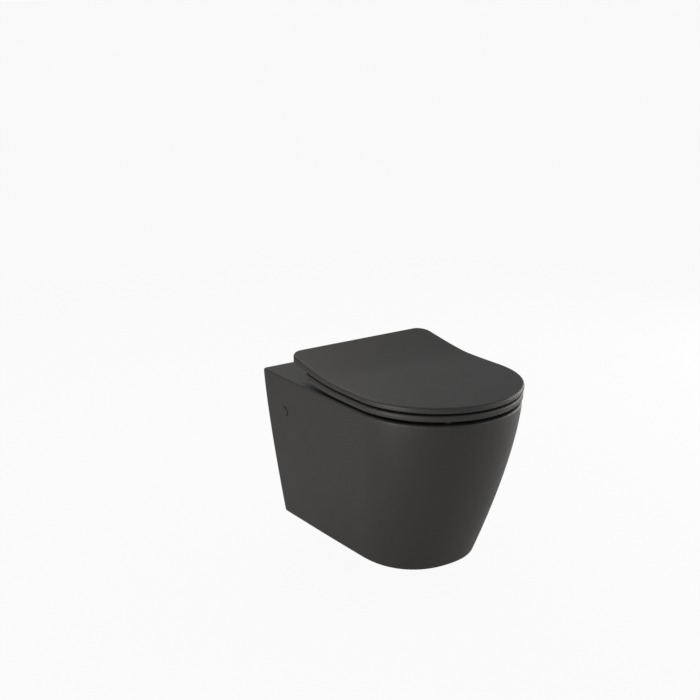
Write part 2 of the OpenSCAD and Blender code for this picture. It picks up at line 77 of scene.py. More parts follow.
# %% Numbers that shape the pan
pan_w, base_w, side_bulge = 344, 240, 3.5  # widths at the wall, above and below, and a side's swell
base_back = 116  # how far the underside's front lies behind the rim's front
width_fall, front_fall = 1.25, 1.35  # powers of the depth for the width and for the front
nose_top, nose_base = 178, 135  # length of the half oval at the rim and at the underside
oval_top, oval_base = 2.05, 2.3  # powers of that oval: 2 is round, and more is fuller
rim_r, base_r, lip_r = 5, 8, 7  # roundings of the top edge, the foot and the bowl's lip
wall_t, rim_t, rib_t = 11, 20, 14  # thicknesses of the skirt, the deck and the inner rib
bowl_w, bowl_rear, rim_front_w = 262, 197, 34  # bowl's width, its rear from the wall, rim in front
bowl_depth, sump_w, sump_r = 268, 78, 10  # depth under the rim, and the sump's width and rounding
sump_back, sump_fore = 22, 6  # how far the sump lies behind the bowl's middle, and its longer front
egg_back, egg_fore = 2.5, 2.1  # powers of the bowl's egg behind its middle and before it
print("the pan narrows from", pan_w, "to", base_w, "mm at the wall")

# %% [markdown]
# ## From numbers to a mesh
# A grid is two arrays of rows and columns, one row for each level and one column for each step along
# it. The faces follow from the grid's shape alone, so numpy makes them all at once. Several grids can
# share one mesh, and points that meet are merged afterwards, which closes the seams.

# %% Grid helpers
def grid_faces(rows, cols, closed, start=0):
    """Quads of a grid: each joins a point, the next in its row, and the two below them."""
    r = np.arange(rows - 1)[:, None]
    c = np.arange(cols if closed else cols - 1)[None, :]
    n = (c + 1) % cols
    quads = np.stack([r * cols + c, (r + 1) * cols + c, (r + 1) * cols + n, r * cols + n], -1)
    return quads.reshape(-1, 4) + start


def clean(work, gap):
    """Merges points closer than the gap, in metres, and drops faces without an area."""
    bmesh.ops.remove_doubles(work, verts=work.verts, dist=gap)
    bmesh.ops.dissolve_degenerate(work, dist=1e-6, edges=work.edges)


def make_piece(name, grids):
    """One mesh object from (points, closed) grids in millimetres, with doubled points merged."""
    points, faces, start = [], [], 0
    for grid, closed in grids:
        rows, cols = grid.shape[:2]
        points.append(grid.reshape(-1, 3))
        faces.append(grid_faces(rows, cols, closed, start))
        start += rows * cols
    mesh = bpy.data.meshes.new(name)
    mesh.from_pydata((np.concatenate(points) / 1000).tolist(), [], np.concatenate(faces).tolist())
    piece = bpy.data.objects.new(name, mesh)
    bpy.context.scene.collection.objects.link(piece)
    work = bmesh.new()
    work.from_mesh(mesh)
    clean(work, 2e-5)
    work.to_mesh(mesh)
    work.free()
    mesh.shade_smooth()
    print(name, "has", len(mesh.polygons), "faces")
    return piece


def turn_outward(piece):
    """Recalculates the normals of a closed mesh, and says how many edges are open."""
    work = bmesh.new()
    work.from_mesh(piece.data)
    clean(work, 1e-5)
    bmesh.ops.recalc_face_normals(work, faces=work.faces)
    open_edges = sum(not e.is_manifold for e in work.edges)
    work.to_mesh(piece.data)
    work.free()
    print(piece.name, "open edges:", open_edges)


def sharp_over(piece, degrees):
    """Edges sharper than the angle stay sharp; the rest shade smoothly."""
    piece.data.shade_smooth()
    piece.data.set_sharp_from_angle(angle=math.radians(degrees))


# %% [markdown]
# ## The skirt
# Seen from above, the skirt is a U: two nearly straight sides and half an oval. Seen from the front it
# narrows downwards, slowly at first and then faster. So each level is the same U with its own width and
# length, and both shrink with a power of the depth. The shape could be sculpted, but a formula keeps the
# two sides alike and matches the CAD model to a fraction of a millimetre.

# %% The skirt's levels
def mix(a, b, t):
    """Straight blend: a at t = 0 and b at t = 1."""
    return a + (b - a) * t


def signed_power(v, e):
    """The size of v to a power, with v's sign kept: it turns a circle into a fuller oval."""
    return np.sign(v) * np.abs(v) ** e


def depth_at(z):
    """0 at the rim and 1 at the underside."""
    return (rim_z - z) / pan_h


def pan_half(t):
    """Half the pan's width at the wall: it falls with the depth to the power 1.25."""
    return pan_w / 2 - (pan_w - base_w) / 2 * t**width_fall


def pan_front(t):
    """The front's y: it comes back with the depth to the power 1.35."""
    return -pan_len + base_back * t**front_fall


def pan_levels(z, inset, side_at, nose_at):
    """Rows of the U at heights z, drawn in by inset: side, half oval, other side.

    Along the side the half width swells by the bulge times 1 - (1 - s)^2, where s is the way from
    the wall. Round the nose the point is (half cos a, nose sin a), with both raised to 2 / power.
    """
    t = depth_at(z)[:, None]
    inset = inset[:, None]
    nose = mix(nose_top, nose_base, t)
    y_nose = pan_front(t) + nose
    half = pan_half(t) - inset
    power = mix(oval_top, oval_base, t)
    s = side_at[None, :]
    side_x = half + side_bulge * (1 - (1 - s) ** 2)
    side_y = y_nose * s
    a = nose_at[None, :]
    nose_x = (half + side_bulge) * signed_power(np.cos(a), 2 / power)
    nose_y = y_nose - (nose - inset) * np.abs(np.sin(a)) ** (2 / power)
    x = np.concatenate([side_x, nose_x, -side_x[:, ::-1]], 1)
    y = np.concatenate([side_y, nose_y, side_y[:, ::-1]], 1)
    return np.stack([x, y, np.broadcast_to(z[:, None], x.shape)], -1)


# %% [markdown]
# A small round cap covers the fixing screw on each side. It lies in a shallow recess, so the grid gets
# extra rows and columns there, and the points inside the recess are pushed in. A smooth step makes the
# recess's edge, as glaze rounds every edge of the ceramic.

# %% Rows and columns of the skirt
cap_low, cap_high = corners("side_cap_right")
cap_mid = (cap_low + cap_high) / 2
recess_r = (cap_high[1] - cap_low[1]) / 2 + 0.9
recess_depth = 3.0
detail_reach, detail_step = 14, 0.7  # round a cap: how far the extra rows reach, and their distance


def steps_with_detail(low, high, coarse, mid, reach, fine):
    """Values from low to high, every coarse mm, and every fine mm within reach of mid."""
    wide = np.arange(low, high + coarse / 2, coarse)
    wide = wide[np.abs(wide - mid) > reach]
    near = np.arange(mid - reach, mid + reach + fine / 2, fine)
    return np.unique(np.concatenate([[low], wide, near, [high]]).clip(low, high).round(4))


nose_y_top = pan_len - nose_top
side_steps = steps_with_detail(0, nose_y_top, 9, -cap_mid[1], detail_reach, detail_step)
side_at = side_steps[:-1] / nose_y_top
nose_at = np.radians(np.arange(0, 180.1, 1.5))
round_steps = np.radians(np.linspace(0, 90, 9))
rounding_z = rim_z - rim_r * (1 - np.cos(round_steps))
rounding_in = rim_r * (1 - np.sin(round_steps))
wall_z = steps_with_detail(base_z + base_r, rim_z - rim_r, 5, cap_mid[2], detail_reach, detail_step)[::-1]
foot_z = base_z + base_r - base_r * np.sin(round_steps)
foot_in = base_r * (1 - np.cos(round_steps))
skirt_z = np.concatenate([rounding_z, wall_z[1:], foot_z[1:]])
skirt_in = np.concatenate([rounding_in, np.zeros(len(wall_z) - 1), foot_in[1:]])
skirt = pan_levels(skirt_z, skirt_in, side_at, nose_at)
print("skirt grid", skirt.shape[:2])

# %% The recesses for the side caps
from_cap = np.hypot(skirt[..., 1] - cap_mid[1], skirt[..., 2] - cap_mid[2])
inside = np.clip(recess_r - from_cap, 0, 1)
on_side = np.abs(skirt[..., 0]) > pan_w / 4
push = recess_depth * inside**2 * (3 - 2 * inside) * on_side
skirt[..., 0] -= np.sign(skirt[..., 0]) * push
print("deepest point of a recess:", round(push.max(), 2), "mm")

# %% [markdown]
# ## The bowl
# The bowl's mouth is an egg, and each level below it is a smaller egg that slides towards the outlet.
# The egg is written in polar form, as a distance for each angle, so that the rim between the skirt and
# the bowl can be a straight blend along the same rays. That keeps one set of columns from the underside
# of the pan over the rim to the sump.

# %% The bowl's levels
bowl_mid = -(bowl_rear + pan_len - rim_front_w) / 2
bowl_reach = (pan_len - rim_front_w - bowl_rear) / 2
bowl_top = rim_z - lip_r
bowl_low = rim_z - bowl_depth + sump_r


def bowl_levels(u, z, grow, angle):
    """Rows of the egg at depths u (0 lip, 1 sump), drawn out by grow.

    The distance from the egg's middle is (|cos / half|^p + |sin / reach|^p)^(-1/p), with p 2.5
    behind the middle and 2.1 before it.
    """
    u, grow = u[:, None], grow[:, None]
    half = mix(bowl_w / 2, sump_w / 2, u**1.5) + grow
    middle = mix(bowl_mid, bowl_mid + sump_back, u**1.5)
    back = mix(bowl_reach, sump_w / 2, u) + grow
    fore = mix(bowl_reach, sump_w / 2 + sump_fore, u**1.4) + grow
    c, s = np.cos(angle)[None, :], np.sin(angle)[None, :]
    reach = np.where(s > 0, back, fore)
    p = np.where(s > 0, egg_back, egg_fore)
    far = (np.abs(c / half) ** p + np.abs(s / reach) ** p) ** (-1 / p)
    x = far * c
    y = middle + far * s
    return np.stack([x, y, np.broadcast_to(z[:, None], x.shape)], -1)


# %% [markdown]
# The rim's outer loop is the top row of the skirt, closed by a straight line along the wall. Each of its
# points has an angle as seen from the middle of the bowl, and the bowl takes these angles over.

# %% Rim and bowl grids
wall_steps = 41


def line_at_wall(corner, z):
    """Points along the wall from the left corner to the right one, without the corners themselves."""
    x = np.linspace(-1, 1, wall_steps)[1:-1] * corner[0]
    return np.stack([x, 0 * x, 0 * x + z], -1)


wall_line = line_at_wall(skirt[0, 0], rim_z)
outer_loop = np.concatenate([skirt[0], wall_line])
angle = np.arctan2(outer_loop[:, 1] - bowl_mid, outer_loop[:, 0])
lip_z = rim_z - lip_r * (1 - np.cos(round_steps))
lip_out = lip_r * (1 - np.sin(round_steps))
lip = bowl_levels(0 * lip_z, lip_z, lip_out, angle)
across = np.linspace(0, 1, 12)[:, None, None]
rim = mix(outer_loop[None], lip[0][None], across)
fall = np.linspace(0, 1, 70)[1:]
funnel = bowl_levels(fall, mix(bowl_top, bowl_low, fall), 0 * fall, angle)
sump_z = bowl_low - sump_r * np.sin(round_steps[1:])
sump = bowl_levels(0 * sump_z + 1, sump_z, -sump_r * (1 - np.cos(round_steps[1:])), angle)
sump_middle = np.array([0, bowl_mid + sump_back, sump_z[-1]])
floor_in = np.linspace(0, 1, 6)[1:, None, None]
floor_rings = mix(sump[-1][None], sump_middle, floor_in) - [0, 0, 0.8] * floor_in
bowl = np.concatenate([lip, funnel, sump, floor_rings])
print("bowl grid", bowl.shape[:2])

# %% [markdown]
# ## The hollow behind the skirt
# From behind, a wall-hung pan is open: one sees the thin skirt from inside, the deck's underside, the
# outside of the bowl, and the pipes. The inner faces use the same formulas with the wall's thickness
# taken off. A flat ring on the wall plane joins the outer faces to the inner ones, which closes the body.

# %% Inner faces
inner_z = np.linspace(rim_z - rim_t, base_z + wall_t, len(skirt_z))
inner_side_at = np.linspace(0, 1, 22)[:-1]
inner_nose_at = np.radians(np.linspace(0, 180, 61))
inner = pan_levels(inner_z, 0 * inner_z + wall_t, inner_side_at, inner_nose_at)
inner_line = line_at_wall(inner[0, 0], inner_z[0])
inner_loop = np.concatenate([inner[0], inner_line])
inner_angle = np.arctan2(inner_loop[:, 1] - bowl_mid, inner_loop[:, 0])
jacket_u = np.linspace((bowl_top - inner_z[0]) / (bowl_top - bowl_low), 1, 40)
jacket_r = (sump_r + wall_t) * np.sin(round_steps[1:])
jacket_in = wall_t - (sump_r + wall_t) * (1 - np.cos(round_steps[1:]))
jacket = np.concatenate([
    bowl_levels(jacket_u, mix(bowl_top, bowl_low, jacket_u), 0 * jacket_u + wall_t, inner_angle),
    bowl_levels(0 * jacket_r + 1, bowl_low - jacket_r, jacket_in, inner_angle)])
jacket_middle = np.array([0, bowl_mid + sump_back, bowl_low - jacket_r[-1]])
jacket_floor = mix(jacket[-1][None], jacket_middle, np.linspace(0, 1, 5)[1:, None, None])
ceiling = mix(inner_loop[None], jacket[0][None], np.linspace(0, 1, 6)[:, None, None])
print("inner grid", inner.shape[:2], "jacket grid", jacket.shape[:2])


# %% Flat faces and the ring at the wall
def ladder(row, columns):
    """A flat grid between the two halves of a row: rungs from each point to its mirror point."""
    rungs = len(row) // 2 + 1
    left, right = row[::-1][:rungs, None], row[:rungs, None]
    return mix(left, right, np.linspace(0, 1, columns)[None, :, None])


underside = ladder(skirt[-1], wall_steps)
inner_floor = ladder(inner[-1], wall_steps)
outer_edge = np.concatenate([skirt[:, 0], underside[0][::-1][1:-1], skirt[::-1, -1], wall_line])
inner_edge = np.concatenate([inner[:, 0], inner_floor[0][::-1][1:-1], inner[::-1, -1], inner_line])
wall_ring = np.stack([outer_edge, inner_edge])
print("the ring at the wall has", len(outer_edge), "steps")

# %% The body in one mesh
pan_body = make_piece("pan_body", [
    (skirt, False), (underside, False), (rim, True), (bowl, True), (wall_ring, True),
    (inner, False), (inner_floor, False), (ceiling, True),
    (np.concatenate([jacket, jacket_floor]), True)])
turn_outward(pan_body)

# %% [markdown]
# ## Pipes, holes and bosses
# The pipes are swept tubes. Each is a closed solid of its own, and a boolean joins them to the body, as
# the potter's slip joins them before firing. A second boolean then opens the trapway, the flush inlet,
# the two holes for the seat's posts and the two holes for the clamp screws. Booleans leave long faces
# where they cut, so they are kept to the inside and the flat deck, and the curved outside stays a grid.

# %% Tubes and boolean tools
def closed_tube(name, loops):
    """A closed solid through loops of equal length, with a fan of quads over each end."""
    rings = [mix(loops[0], loops[0].mean(0), 1 - t) for t in (0, 0.5)]
    rings += list(loops)
    rings += [mix(loops[-1], loops[-1].mean(0), t) for t in (0.5, 1)]
    piece = make_piece(name, [(np.stack(rings), True)])
    turn_outward(piece)
    return piece


def turned(name, axis, place, stations, n=64):
    """A turned solid whose axis runs through the place: a station is (way along the axis, radius)."""
    a = np.linspace(0, 2 * np.pi, n, endpoint=False)
    flat = np.stack([np.cos(a), np.sin(a), 0 * a], -1)
    order = {"x": (2, 0, 1), "y": (0, 2, 1), "z": (0, 1, 2)}[axis]
    return closed_tube(name, [(flat * r + [0, 0, at])[:, order] + place for at, r in stations])


def combine(piece, tool, operation):
    """A boolean of the piece with the tool, which is then removed."""
    change = piece.modifiers.new("change", "BOOLEAN")
    change.operation, change.object, change.solver = operation, tool, "EXACT"
    with bpy.context.temp_override(object=piece, active_object=piece):
        bpy.ops.object.modifier_apply(modifier=change.name)
    print(piece.name, "after", operation.lower(), "of", tool.name, "has", len(piece.data.polygons), "faces")
    bpy.data.objects.remove(tool)
    turn_outward(piece)


# %% The trapway's path
spigot_len, spigot_r, spigot_bore_r, outlet_drop = 95, 51, 43, 100
trap_r, trap_rise = 25, 38
trap_foot = np.array([bowl_mid + 34, rim_z - bowl_depth + 12])
trap_crest = np.array([-spigot_len - 80, -outlet_drop + trap_rise])
trap_end = np.array([-spigot_len + 5, -outlet_drop])
bend_from, bend_to = mix(trap_foot, trap_crest, 0.45), mix(trap_crest, trap_end, 0.6)
bend_at = np.linspace(0, 1, 17)[:, None]
bend = mix(mix(bend_from, trap_crest, bend_at), mix(trap_crest, bend_to, bend_at), bend_at)
trap_path = np.concatenate([[trap_foot], bend, [trap_end]])


def trap_loops(r, n=48):
    """Circles square to the path: from the sump up over the crest and down to the spigot."""
    run = np.gradient(trap_path, axis=0)
    across = np.stack([run[:, 1], -run[:, 0]], -1) / np.linalg.norm(run, axis=1, keepdims=True)
    a = np.linspace(0, 2 * np.pi, n, endpoint=False)
    x = np.broadcast_to(r * np.cos(a), (len(trap_path), n))
    yz = trap_path[:, None] + r * np.sin(a)[None, :, None] * across[:, None]
    return [np.stack([x[k], yz[k, :, 0], yz[k, :, 1]], -1) for k in range(len(trap_path))]


print("the trapway's crest is at z =", round(trap_path[:, 1].max(), 1))

# %% Solids to add
inlet_z, inlet_r, inlet_depth, channel_r = 35, 27.5, 45, 17
socket_r, room_r, boss_r = inlet_r + 9, 67, 17
inlet_u = np.array([(bowl_top - inlet_z) / (bowl_top - bowl_low)])
inlet_row = bowl_levels(inlet_u, np.array([float(inlet_z)]), 0 * inlet_u, np.array([np.pi / 2]))
inlet_wall_y = inlet_row[0, 0, 1]
side_x = pan_half(depth_at(0)) + side_bulge * (1 - (1 + cap_mid[1] / nose_y_top) ** 2)
boss_in = side_x - wall_t - 9


def box_solid(name, low, high):
    """A closed box, as a tube of two square loops."""
    x0, y0, z0 = low
    x1, y1, z1 = high
    square = np.array([[x0, 0, z0], [x1, 0, z0], [x1, 0, z1], [x0, 0, z1]], float)
    return closed_tube(name, [square + [0, y0, 0], square + [0, y1, 0]])


at_outlet, at_inlet, at_screw = (0, 0, -outlet_drop), (0, 0, inlet_z), (0, cap_mid[1], 0)
outer_loops = trap_loops(trap_r + wall_t - 3)
first_way = (trap_path[1] - trap_path[0]) / np.linalg.norm(trap_path[1] - trap_path[0])
outer_loops[0] = outer_loops[0] - 3 * np.array([0, *first_way])
trap = closed_tube("trap", outer_loops)

# The trapway's outside must not stand in the bowl, so the bowl, grown by 4 mm, is cut out of it.
keep_u = np.array([0.5, 0.65, 0.8, 0.9, 1])
keep_z = np.append(mix(bowl_top, bowl_low, keep_u), bowl_low - sump_r)
keep_grow = np.array([4, 4, 4, 4, 4, -6.0])
keep_turn = np.linspace(0, -2 * np.pi, 96, endpoint=False)
keep_out = closed_tube("keep_out", list(bowl_levels(np.append(keep_u, 1), keep_z, keep_grow, keep_turn)))
combine(trap, keep_out, "DIFFERENCE")

spigot = turned("spigot", "y", at_outlet, [
    (-spigot_len - 1, spigot_r), (-1, spigot_r), (0, spigot_r - 1)])
socket = turned("socket", "y", at_inlet, [
    (inlet_wall_y + 5.5, socket_r), (-1.6, socket_r), (-0.6, socket_r - 1)])
rib = box_solid("rib", (-rib_t / 2, -bowl_rear - 60, base_z + 2), (rib_t / 2, -0.5, rim_z - rim_t / 2))
room = turned("room", "y", at_outlet, [(-spigot_len, room_r), (3, room_r)])
combine(rib, room, "DIFFERENCE")
bosses = [turned("boss", "x", at_screw, [
    (m * boss_in, boss_r - 1), (m * (boss_in + 1), boss_r), (m * (side_x - 5.5), boss_r)]) for m in (-1, 1)]

# %% Holes to cut
hinge_gap, axis_y = 155, -128
post_hole_r, screw_hole_r = 7, 8
trap_cut = closed_tube("trap_cut", trap_loops(trap_r))
spigot_cut = turned("spigot_cut", "y", at_outlet, [
    (-spigot_len + 9, spigot_bore_r), (-2, spigot_bore_r), (2, spigot_bore_r + 2)])
inlet_cut = turned("inlet_cut", "y", at_inlet, [
    (inlet_wall_y - 12, channel_r), (-inlet_depth, channel_r), (-inlet_depth, inlet_r),
    (-1, inlet_r), (2, inlet_r + 3)])
cuts = [trap_cut, spigot_cut, inlet_cut]
for m in (-1, 1):
    cuts.append(turned("post_hole", "z", (m * hinge_gap / 2, axis_y, 0), [
        (rim_z - rim_t - 1, post_hole_r), (rim_z + 1, post_hole_r)]))
    cuts.append(turned("screw_hole", "x", at_screw, [
        (m * (boss_in - 1), screw_hole_r), (m * (side_x + 1), screw_hole_r)]))
for solid in [rib, trap, spigot, socket] + bosses:
    combine(pan_body, solid, "UNION")
for hole in cuts:
    combine(pan_body, hole, "DIFFERENCE")
turn_outward(pan_body)
sharp_over(pan_body, 32)
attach(pan_body, "pan_unit")
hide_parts("pan")

# %% [markdown]
# ## The lid
# The lid is a thin shell, moulded in a hard plastic. Its outline has nearly straight sides, a half-round
# front and small rear corners. Its front two thirds are flat, and behind a soft bend it rises to the
# rear, where it hides the hinges. Its lower outer edge slopes up to a low side wall, which widens the
# dark gap over the seat. The outline is one row of points for the right half, mirrored for the left.
# Every level of the lid's edge uses the same row, drawn in a little, so the levels join without a seam,
# and the top is a ladder of rungs between the halves.

# %% The outline
lid_front, lid_rear, lid_w = -pan_len - 4, 106, 363
lid_nose, lid_waist, lid_corner = lid_w / 2, lid_w / 2 - 4.5, 30
bend_y = 258  # the bend's distance from the wall
rungs = 61


def edge_half(y, y_rear):
    """Half the lid's width at y: it narrows to the waist with the square of the way to the rear."""
    s = (y - lid_front - lid_nose) / (y_rear - lid_front - lid_nose)
    return mix(lid_nose, lid_waist, np.maximum(0, s) ** 2)


def half_outline(inset, y_rear, corner):
    """The right half from the rear corner to the tip, drawn in by inset: arc, side, half circle."""
    y_nose = lid_front + lid_nose
    r = max(1, corner - inset)
    back = y_rear - inset
    middle = edge_half(y_rear - corner, y_rear) - inset - r
    a = np.radians(np.linspace(90, 0, 17))
    arc = np.stack([middle + r * np.cos(a), back - r + r * np.sin(a)], -1)
    y = steps_with_detail(y_nose, back - r, 5, -bend_y, 16, 1.0)[::-1][1:-1]
    side = np.stack([edge_half(y, y_rear) - inset, y], -1)
    a = np.radians(np.linspace(0, 90, 64))
    nose = np.stack([(lid_nose - inset) * np.cos(a), y_nose - (lid_nose - inset) * np.sin(a)], -1)
    nose[-1, 0] = 0
    return np.concatenate([arc, side, nose])


def whole_outline(half):
    """The closed loop: along the rear edge to the right corner, forward to the tip, and back."""
    rear_x = np.linspace(-1, 1, rungs)[1:-1] * half[0, 0]
    rear = np.stack([rear_x, 0 * rear_x + half[0, 1]], -1)
    left = half[:-1][::-1] * [-1, 1]
    return np.concatenate([half, left, rear])


print("points in the outline:", len(whole_outline(half_outline(0, -lid_rear, lid_corner))))

# %% Heights of the lid and the seat
seat_low, seat_high, lid_low, lid_high = rim_z + 5, rim_z + 20, rim_z + 22.5, rim_z + 36
seat_low_rise, seat_high_rise, lid_low_rise, lid_high_rise = 14, 20, 21, 26.6
crown_h, bend_soft, bend_power = 1.2, 0.18, 1.2


def rise(y):
    """The share of a rise that is reached at y: about 0 before the bend and 1 at the rear edge.

    With s the way from the bend to the rear edge and b the bend's softness, it is
    ((s + sqrt(s^2 + b^2)) / (1 + sqrt(1 + b^2)))^1.2.
    """
    along = (y + bend_y) / (bend_y - lid_rear)
    soft = along + np.sqrt(along**2 + bend_soft**2)
    return (soft / (1 + math.sqrt(1 + bend_soft**2))) ** bend_power


def crown(x, y):
    """A very slight dome: highest in the middle, and nothing at the sides, the front and the rear."""
    along = (y - (lid_front - lid_rear) / 2) / ((lid_rear + lid_front) / 2)
    return crown_h * np.maximum(0, 1 - (x / lid_nose) ** 2) * np.maximum(0, 1 - along**2)


def top_of_lid(x, y):
    """The flat front, the rise behind the bend, and the dome."""
    return lid_high + lid_high_rise * rise(y) + crown(x, y)


def under_of_lid(x, y):
    """The lower edge: flat in front, and rising less than the top."""
    return lid_low + lid_low_rise * rise(y)


def at_height(flat, height, over=0):
    """Points on the outline lifted to a height function."""
    return np.concatenate([flat, (height(flat[..., 0], flat[..., 1]) + over)[..., None]], -1)


# %% The lid's shell
def lid_level(inset, height, over=0):
    """The whole outline, drawn in by inset and lifted."""
    return at_height(whole_outline(half_outline(inset, -lid_rear, lid_corner)), height, over)


def lid_sheet(inset, height, over=0):
    """A ladder across the outline, drawn in by inset and lifted."""
    half = half_outline(inset, -lid_rear, lid_corner)
    across = np.linspace(-1, 1, rungs)[None, :]
    flat = np.stack([half[:, :1] * across, np.broadcast_to(half[:, 1:], (len(half), rungs))], -1)
    return at_height(flat, height, over)


edge_r, lid_hollow, hollow_in = 5, 6, 14  # the top edge's rounding, the hollow's depth and inset
wall_foot = 3.8  # how far over the underside the side wall ends
foot_steps = [(0.2, 3.1), (0.9, 2.3), (2.4, 1.4), (5, 0.5), (8, 0.1)]
hollow_steps = [(10, 0), (11, 0.4), (11.6, 3), (12.4, lid_hollow - 0.6), (hollow_in, lid_hollow)]
edge_levels = [lid_level(edge_r * (1 - np.sin(a)), top_of_lid, -edge_r * (1 - np.cos(a)))
               for a in np.linspace(0, np.pi / 2, 9)]
wall_end = lid_level(0, under_of_lid, wall_foot)
wall_levels = [mix(edge_levels[-1], wall_end, t) for t in (0.25, 0.5, 0.75, 1)]
under_levels = [lid_level(inset, under_of_lid, over) for inset, over in foot_steps + hollow_steps]
lid_shell = make_piece("lid_shell", [
    (lid_sheet(edge_r, top_of_lid), False),
    (np.stack(edge_levels + wall_levels + under_levels), True),
    (lid_sheet(hollow_in, under_of_lid, lid_hollow), False)])
turn_outward(lid_shell)

# %% [markdown]
# ### Hinge knuckles
# Under its raised rear the lid has two knuckles, and the seat has two more beside them. Each is a short
# barrel on a web, with a bore for the hinge shaft. They are hidden when the lid is down and show when
# it is up.

# %% Knuckles for the lid
axis_z = rim_z + 31
knuckle_r, knuckle_half, shaft_bore_r = 9, 7, 4.05
lid_knuckle_x, seat_knuckle_x = 52.5, 102.5


def add_knuckle(shell, x, web_in, web_low, web_high):
    """Joins a softly turned barrel on the hinge axis and its web to the shell, and bores both.

    The web is a box between two (y, z) corners, shorter than the barrel by web_in at each end.
    """
    x0, x1 = x - knuckle_half, x + knuckle_half
    on_axis = (0, axis_y, axis_z)
    knuckle = turned("knuckle", "x", on_axis, [
        (x0, knuckle_r - 0.8), (x0 + 0.3, knuckle_r - 0.25), (x0 + 0.8, knuckle_r),
        (x1 - 0.8, knuckle_r), (x1 - 0.3, knuckle_r - 0.25), (x1, knuckle_r - 0.8)])
    web = box_solid("web", (x0 + web_in, *web_low), (x1 - web_in, *web_high))
    combine(knuckle, web, "UNION")
    combine(shell, knuckle, "UNION")
    bore = turned("bore", "x", on_axis, [(x0 - 2, shaft_bore_r), (x1 + 2, shaft_bore_r)], 48)
    combine(shell, bore, "DIFFERENCE")


web_top = under_of_lid(0, axis_y) + lid_hollow + 3
for m in (-1, 1):
    add_knuckle(lid_shell, m * lid_knuckle_x, 0.5, (axis_y - 8, axis_z), (axis_y + 8, web_top))
sharp_over(lid_shell, 30)
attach(lid_shell, "lid")
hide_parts("lid")

# %% [markdown]
# ## The seat
# The seat is a ring of the same plastic. Its section is nearly flat on top, falls gently into the opening
# with a wide round, and has a tighter round at the outer top edge. Below, it slopes up to a low outer
# wall, which widens the dark gap over the pan. The section is written once and carried round the ring,
# from each point of the outline to the point of the opening that lies on the same ray. The opening is an
# oval: its distance at an angle is (|cos / half width|^p + |sin / half length|^p)^(-1/p), with p 2.15.

# %% The ring
seat_inset, seat_rear, seat_corner, seat_front_w = 1.5, 160, 14, 66
hole_w, hole_len, hole_power = 222, 262, 2.15
seat_mid = lid_front + seat_inset + seat_front_w + hole_len / 2
outline = whole_outline(half_outline(seat_inset, -seat_rear, seat_corner))
ray = np.arctan2(outline[:, 1] - seat_mid, outline[:, 0])
in_width = (np.abs(np.cos(ray)) / (hole_w / 2)) ** hole_power
in_length = (np.abs(np.sin(ray)) / (hole_len / 2)) ** hole_power
far = (in_width + in_length) ** (-1 / hole_power)
opening = np.stack([far * np.cos(ray), seat_mid + far * np.sin(ray)], -1)


def quarter(r, start, end, n=8):
    """A quarter round of a section: how far in from the edge, and how far above or below the face."""
    a = np.radians(np.linspace(start, end, n))
    return r + r * np.cos(a), r * np.sin(a) - r


def seat_row(inward, height, outer, top):
    """One row of the ring: a distance in from its outer or inner edge, at a height over its face."""
    width = np.linalg.norm(opening - outline, axis=1)
    way = (opening - outline) / width[:, None]
    at = 0 * width + inward if outer else width - inward
    flat = outline + way * at[:, None]
    low, lift = (seat_high, seat_high_rise) if top else (seat_low, seat_low_rise)
    face = low + lift * rise(flat[:, 1])
    return np.concatenate([flat, (face + height)[:, None]], -1)


def seat_grid():
    """The section carried round the ring: outer round, slight dome, wide inner round, flat
    underside, and a slope up to the low outer wall."""
    outer_r, inner_r, low_r, dome = 4, 9, 1.5, 0.8
    slope = [(20, 0), (12, 0), (9, 0.3), (5.5, 1.3), (2.2, 2.4), (0.9, 2.9), (0.3, 3.4), (0, 4.2)]
    rows = [seat_row(i, h, True, True) for i, h in zip(*quarter(outer_r, 180, 90))]
    for i in range(7, 30, 3):
        rows.append(seat_row(i, dome * np.sin(np.pi * (i - outer_r) / 52), True, True))
    for i in range(27, 11, -3):
        rows.append(seat_row(i, dome * np.sin(np.pi * (i - inner_r) / 50), False, True))
    rows += [seat_row(i, h, False, True) for i, h in zip(*quarter(inner_r, 90, 180))]
    rows += [seat_row(i, -h, False, False) for i, h in zip(*quarter(low_r, 180, 90, 4))]
    rows += [seat_row(i, h, True, False) for i, h in slope]
    return np.stack(rows + rows[:1])


seat_shell = make_piece("seat_shell", [(seat_grid(), True)])
turn_outward(seat_shell)

# %% The seat's arms and knuckles
arm_low, arm_high = (-seat_rear - 16, axis_z - knuckle_r), (axis_y, axis_z + 1)
for m in (-1, 1):
    add_knuckle(seat_shell, m * seat_knuckle_x, 0.2, arm_low, arm_high)
sharp_over(seat_shell, 30)
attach(seat_shell, "seat")
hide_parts("seat_ring")

# %% [markdown]
# ## The side caps
# A cap of matt plastic hides the clamp screw on each side of the pan. It is a flat button that stands
# a little proud, and it leans with the skirt: its rings are tilted by the slope that the formula of the
# pan's width has at the cap's height.

# %% Side caps
cap_r, cap_top, cap_foot, cap_edge_r = 10.5, 1.6, -3, 0.8
skirt_slope = width_fall * (pan_w - base_w) / 2 * depth_at(0) ** (width_fall - 1) / pan_h


def cap_points(side, rings):
    """Rings of (radius, height) round the skirt's normal at the cap's place."""
    tilt = math.atan(skirt_slope)
    out = np.array([math.cos(tilt), 0, -math.sin(tilt)])
    up = np.array([math.sin(tilt), 0, math.cos(tilt)])
    a = np.linspace(0, 2 * np.pi, 72, endpoint=False)[None, :, None]
    r, h = np.array(rings).T[:, :, None, None]
    points = [side_x, cap_mid[1], 0] + r * (np.cos(a) * [0, 1, 0] + np.sin(a) * up) + h * out
    return points * [side, 1, 1]


